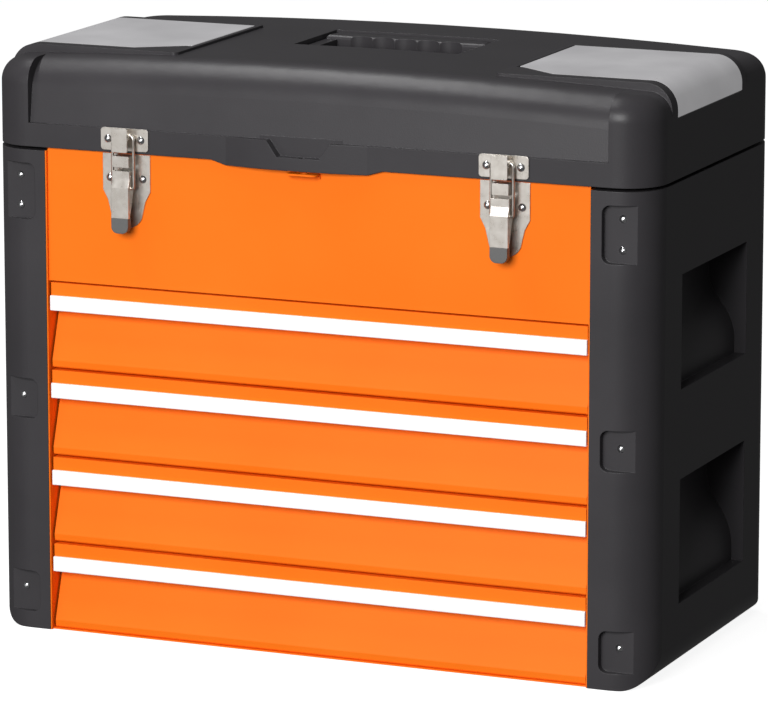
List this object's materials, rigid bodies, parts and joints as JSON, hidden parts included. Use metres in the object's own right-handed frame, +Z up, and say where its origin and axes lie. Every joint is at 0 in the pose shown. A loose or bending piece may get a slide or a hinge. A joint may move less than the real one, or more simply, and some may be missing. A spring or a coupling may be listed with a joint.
{
  "type": "portable tool box with drawers",
  "caption": "Upright steel tool box with moulded end caps, hinged lid with parts organisers, folding handle, toggle latches and sliding drawers",
  "frame": {"origin": "middle of the base, on the surface it stands on", "axes": "+X to the right seen from the front, +Y to the back, +Z up; drawers open towards -Y"},
  "size_m": [0.52, 0.2836, 0.4343],
  "materials": {
    "orange_steel": "glossy orange powder coat",
    "charcoal_plastic": "fine-grained charcoal moulding",
    "cover_plastic": "smoky grey moulding",
    "strip_plastic": "near-white moulding",
    "latch_steel": "bright nickel-plated sheet",
    "rivet_steel": "polished",
    "tip_plastic": "grey moulding",
    "zinc_steel": "zinc-plated"
  },
  "bodies": {
    "cabinet": {"cabinet_shell": "orange_steel", "back_panel": "orange_steel", "upper_front_panel": "orange_steel", "compartment_floor": "orange_steel", "padlock_staple": "orange_steel", "right_end_cap": "charcoal_plastic", "left_end_cap": "charcoal_plastic", "front_cap_rivets": "rivet_steel", "rear_cap_rivets": "rivet_steel", "latch_base_rivets": "rivet_steel", "hinge_pins": "zinc_steel", "hinge_body_rivets": "rivet_steel", "right_cabinet_rails": "zinc_steel", "left_cabinet_rails": "zinc_steel", "left_latch_base": "latch_steel", "left_latch_lever_pin": "rivet_steel", "left_hinge_body_leaf": "zinc_steel", "right_latch_base": "latch_steel", "right_latch_lever_pin": "rivet_steel", "right_hinge_body_leaf": "zinc_steel"},
    "lid": {"lid_shell": "charcoal_plastic", "left_latch_keeper": "latch_steel", "right_latch_keeper": "latch_steel", "latch_keeper_rivets": "rivet_steel", "left_hinge_lid_leaf": "zinc_steel", "right_hinge_lid_leaf": "zinc_steel", "hinge_lid_rivets": "rivet_steel", "carry_handle_pins": "rivet_steel"},
    "carry_handle": {"carry_handle": "charcoal_plastic"},
    "left_organiser_cover": {"left_organiser_cover": "cover_plastic"},
    "right_organiser_cover": {"right_organiser_cover": "cover_plastic"},
    "drawer_1": {"drawer_1_front": "orange_steel", "drawer_1_tray": "orange_steel", "drawer_1_handle_strip": "strip_plastic", "drawer_1_rails": "zinc_steel"},
    "drawer_1_cages": {"drawer_1_ball_cages": "zinc_steel"},
    "drawer_2": {"drawer_2_front": "orange_steel", "drawer_2_tray": "orange_steel", "drawer_2_handle_strip": "strip_plastic", "drawer_2_rails": "zinc_steel"},
    "drawer_2_cages": {"drawer_2_ball_cages": "zinc_steel"},
    "drawer_3": {"drawer_3_front": "orange_steel", "drawer_3_tray": "orange_steel", "drawer_3_handle_strip": "strip_plastic", "drawer_3_rails": "zinc_steel"},
    "drawer_3_cages": {"drawer_3_ball_cages": "zinc_steel"},
    "drawer_4": {"drawer_4_front": "orange_steel", "drawer_4_tray": "orange_steel", "drawer_4_handle_strip": "strip_plastic", "drawer_4_rails": "zinc_steel"},
    "drawer_4_cages": {"drawer_4_ball_cages": "zinc_steel"},
    "left_latch": {"left_latch_lever": "latch_steel", "left_latch_lever_tip": "tip_plastic"},
    "left_bail": {"left_latch_wire_bail": "latch_steel"},
    "right_latch": {"right_latch_lever": "latch_steel", "right_latch_lever_tip": "tip_plastic"},
    "right_bail": {"right_latch_wire_bail": "latch_steel"}
  },
  "joints": [
    {"name": "lid_hinge", "type": "hinge", "parent": "cabinet", "child": "lid", "pos_m": [0, 0.137, 0.3632], "axis": [-1, 0, 0], "range_deg": [0, 95]},
    {"name": "handle_fold", "type": "hinge", "parent": "lid", "child": "carry_handle", "pos_m": [0, -0.004, 0.424], "axis": [1, 0, 0], "range_deg": [0, 90]},
    {"name": "left_cover_hinge", "type": "hinge", "parent": "lid", "child": "left_organiser_cover", "pos_m": [-0.1315, -0.013, 0.4321], "axis": [0, 1, 0], "range_deg": [0, 100]},
    {"name": "right_cover_hinge", "type": "hinge", "parent": "lid", "child": "right_organiser_cover", "pos_m": [0.1315, -0.013, 0.4321], "axis": [0, -1, 0], "range_deg": [0, 100]},
    {"name": "drawer_1_slide", "type": "slide", "parent": "cabinet", "child": "drawer_1", "axis": [0, -1, 0], "range_m": [0, 0.18]},
    {"name": "drawer_1_cage_slide", "type": "slide", "parent": "cabinet", "child": "drawer_1_cages", "axis": [0, -1, 0], "range_m": [0, 0.09]},
    {"name": "drawer_2_slide", "type": "slide", "parent": "cabinet", "child": "drawer_2", "axis": [0, -1, 0], "range_m": [0, 0.18]},
    {"name": "drawer_2_cage_slide", "type": "slide", "parent": "cabinet", "child": "drawer_2_cages", "axis": [0, -1, 0], "range_m": [0, 0.09]},
    {"name": "drawer_3_slide", "type": "slide", "parent": "cabinet", "child": "drawer_3", "axis": [0, -1, 0], "range_m": [0, 0.18]},
    {"name": "drawer_3_cage_slide", "type": "slide", "parent": "cabinet", "child": "drawer_3_cages", "axis": [0, -1, 0], "range_m": [0, 0.09]},
    {"name": "drawer_4_slide", "type": "slide", "parent": "cabinet", "child": "drawer_4", "axis": [0, -1, 0], "range_m": [0, 0.18]},
    {"name": "drawer_4_cage_slide", "type": "slide", "parent": "cabinet", "child": "drawer_4_cages", "axis": [0, -1, 0], "range_m": [0, 0.09]},
    {"name": "left_latch_lever_hinge", "type": "hinge", "parent": "cabinet", "child": "left_latch", "pos_m": [-0.1485, -0.1374, 0.3485], "axis": [-1, 0, 0], "range_deg": [0, 110]},
    {"name": "left_latch_bail_hinge", "type": "hinge", "parent": "left_latch", "child": "left_bail", "pos_m": [-0.1485, -0.1366, 0.3395], "axis": [-1, 0, 0], "range_deg": [-94, 0]},
    {"name": "right_latch_lever_hinge", "type": "hinge", "parent": "cabinet", "child": "right_latch", "pos_m": [0.1485, -0.1374, 0.3485], "axis": [-1, 0, 0], "range_deg": [0, 110]},
    {"name": "right_latch_bail_hinge", "type": "hinge", "parent": "right_latch", "child": "right_bail", "pos_m": [0.1485, -0.1366, 0.3395], "axis": [-1, 0, 0], "range_deg": [-94, 0]}
  ],
  "couplings": [
    {"joint": "drawer_1_cage_slide", "follows": "drawer_1_slide", "ratio": 0.5},
    {"joint": "drawer_2_cage_slide", "follows": "drawer_2_slide", "ratio": 0.5},
    {"joint": "drawer_3_cage_slide", "follows": "drawer_3_slide", "ratio": 0.5},
    {"joint": "drawer_4_cage_slide", "follows": "drawer_4_slide", "ratio": 0.5},
    {"joint": "left_latch_bail_hinge", "follows": "left_latch_lever_hinge", "ratio": -0.85},
    {"joint": "right_latch_bail_hinge", "follows": "right_latch_lever_hinge", "ratio": -0.85}
  ]
}
